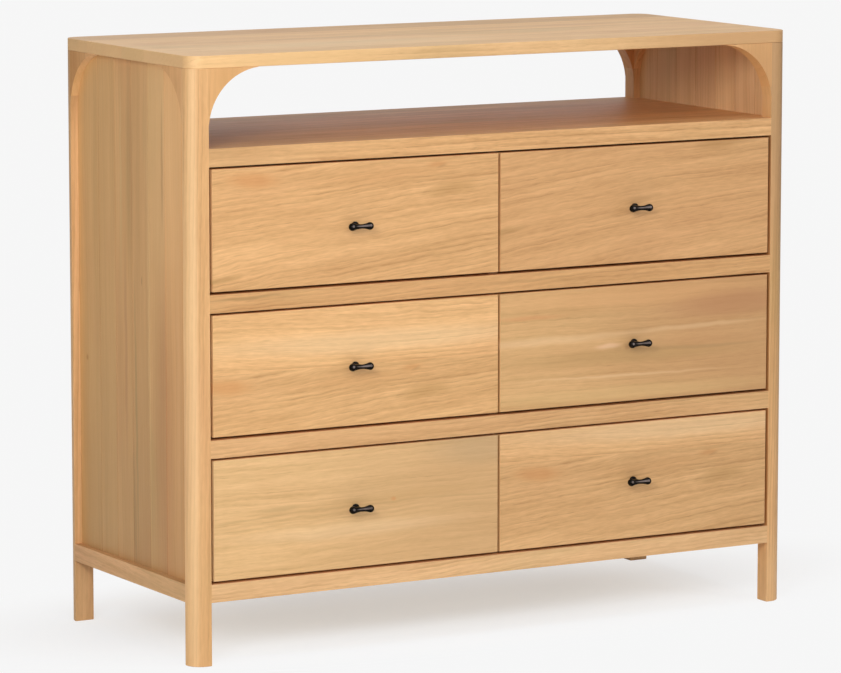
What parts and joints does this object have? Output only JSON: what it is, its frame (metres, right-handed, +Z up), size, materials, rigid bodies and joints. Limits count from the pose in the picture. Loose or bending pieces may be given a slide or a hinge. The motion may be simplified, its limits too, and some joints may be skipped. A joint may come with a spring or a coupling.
{
  "type": "six-drawer dresser with open shelf",
  "caption": "Oak dresser on short legs with drawers in two banks and an open see-through shelf with arched corners under its top.",
  "frame": {"origin": "middle of the whole object's footprint, pulls included, on the floor", "axes": "+X to the viewer's right as one faces the drawers, +Y towards the back, +Z up"},
  "size_m": [1.22, 0.5278, 1.054],
  "materials": {
    "oak_top": "clear matt oil on light oak boards",
    "oak_frame": "clear matt oil on light oak",
    "oak_boards": "clear matt oil on light oak boards",
    "oak_drawer_fronts": "clear matt oil on light oak, grain across",
    "drawer_wood": "bare birch",
    "plywood": "birch plywood",
    "slide_steel": "bright zinc-plated sheet steel",
    "black_metal": "black, softly polished"
  },
  "bodies": {
    "case": {"top_panel": "oak_top", "front_left_post": "oak_frame", "front_right_post": "oak_frame", "rear_left_post": "oak_frame", "rear_right_post": "oak_frame", "front_arch_brackets": "oak_frame", "rear_arch_brackets": "oak_frame", "left_side_brackets": "oak_frame", "right_side_brackets": "oak_frame", "left_side_panel": "oak_boards", "right_side_panel": "oak_boards", "left_bottom_rail": "oak_frame", "right_bottom_rail": "oak_frame", "front_bottom_rail": "oak_frame", "rear_bottom_rail": "oak_frame", "lower_drawer_rail": "oak_frame", "upper_drawer_rail": "oak_frame", "open_shelf": "oak_top", "back_panel": "plywood", "bottom_panel": "plywood", "centre_partition": "plywood", "runner_battens": "drawer_wood", "cabinet_slides": "slide_steel", "slide_screws": "slide_steel"},
    "lower_left_drawer": {"lower_left_drawer_front": "oak_drawer_fronts", "lower_left_drawer_sides": "drawer_wood", "lower_left_drawer_ends": "drawer_wood", "lower_left_drawer_bottom": "plywood", "lower_left_pull": "black_metal", "lower_left_drawer_slides": "slide_steel"},
    "lower_right_drawer": {"lower_right_drawer_front": "oak_drawer_fronts", "lower_right_drawer_sides": "drawer_wood", "lower_right_drawer_ends": "drawer_wood", "lower_right_drawer_bottom": "plywood", "lower_right_pull": "black_metal", "lower_right_drawer_slides": "slide_steel"},
    "middle_left_drawer": {"middle_left_drawer_front": "oak_drawer_fronts", "middle_left_drawer_sides": "drawer_wood", "middle_left_drawer_ends": "drawer_wood", "middle_left_drawer_bottom": "plywood", "middle_left_pull": "black_metal", "middle_left_drawer_slides": "slide_steel"},
    "middle_right_drawer": {"middle_right_drawer_front": "oak_drawer_fronts", "middle_right_drawer_sides": "drawer_wood", "middle_right_drawer_ends": "drawer_wood", "middle_right_drawer_bottom": "plywood", "middle_right_pull": "black_metal", "middle_right_drawer_slides": "slide_steel"},
    "upper_left_drawer": {"upper_left_drawer_front": "oak_drawer_fronts", "upper_left_drawer_sides": "drawer_wood", "upper_left_drawer_ends": "drawer_wood", "upper_left_drawer_bottom": "plywood", "upper_left_pull": "black_metal", "upper_left_drawer_slides": "slide_steel"},
    "upper_right_drawer": {"upper_right_drawer_front": "oak_drawer_fronts", "upper_right_drawer_sides": "drawer_wood", "upper_right_drawer_ends": "drawer_wood", "upper_right_drawer_bottom": "plywood", "upper_right_pull": "black_metal", "upper_right_drawer_slides": "slide_steel"}
  },
  "joints": [
    {"name": "lower_left_drawer_slide", "type": "slide", "parent": "case", "child": "lower_left_drawer", "axis": [0, -1, 0], "range_m": [0, 0.33]},
    {"name": "lower_right_drawer_slide", "type": "slide", "parent": "case", "child": "lower_right_drawer", "axis": [0, -1, 0], "range_m": [0, 0.33]},
    {"name": "middle_left_drawer_slide", "type": "slide", "parent": "case", "child": "middle_left_drawer", "axis": [0, -1, 0], "range_m": [0, 0.33]},
    {"name": "middle_right_drawer_slide", "type": "slide", "parent": "case", "child": "middle_right_drawer", "axis": [0, -1, 0], "range_m": [0, 0.33]},
    {"name": "upper_left_drawer_slide", "type": "slide", "parent": "case", "child": "upper_left_drawer", "axis": [0, -1, 0], "range_m": [0, 0.33]},
    {"name": "upper_right_drawer_slide", "type": "slide", "parent": "case", "child": "upper_right_drawer", "axis": [0, -1, 0], "range_m": [0, 0.33]}
  ]
}
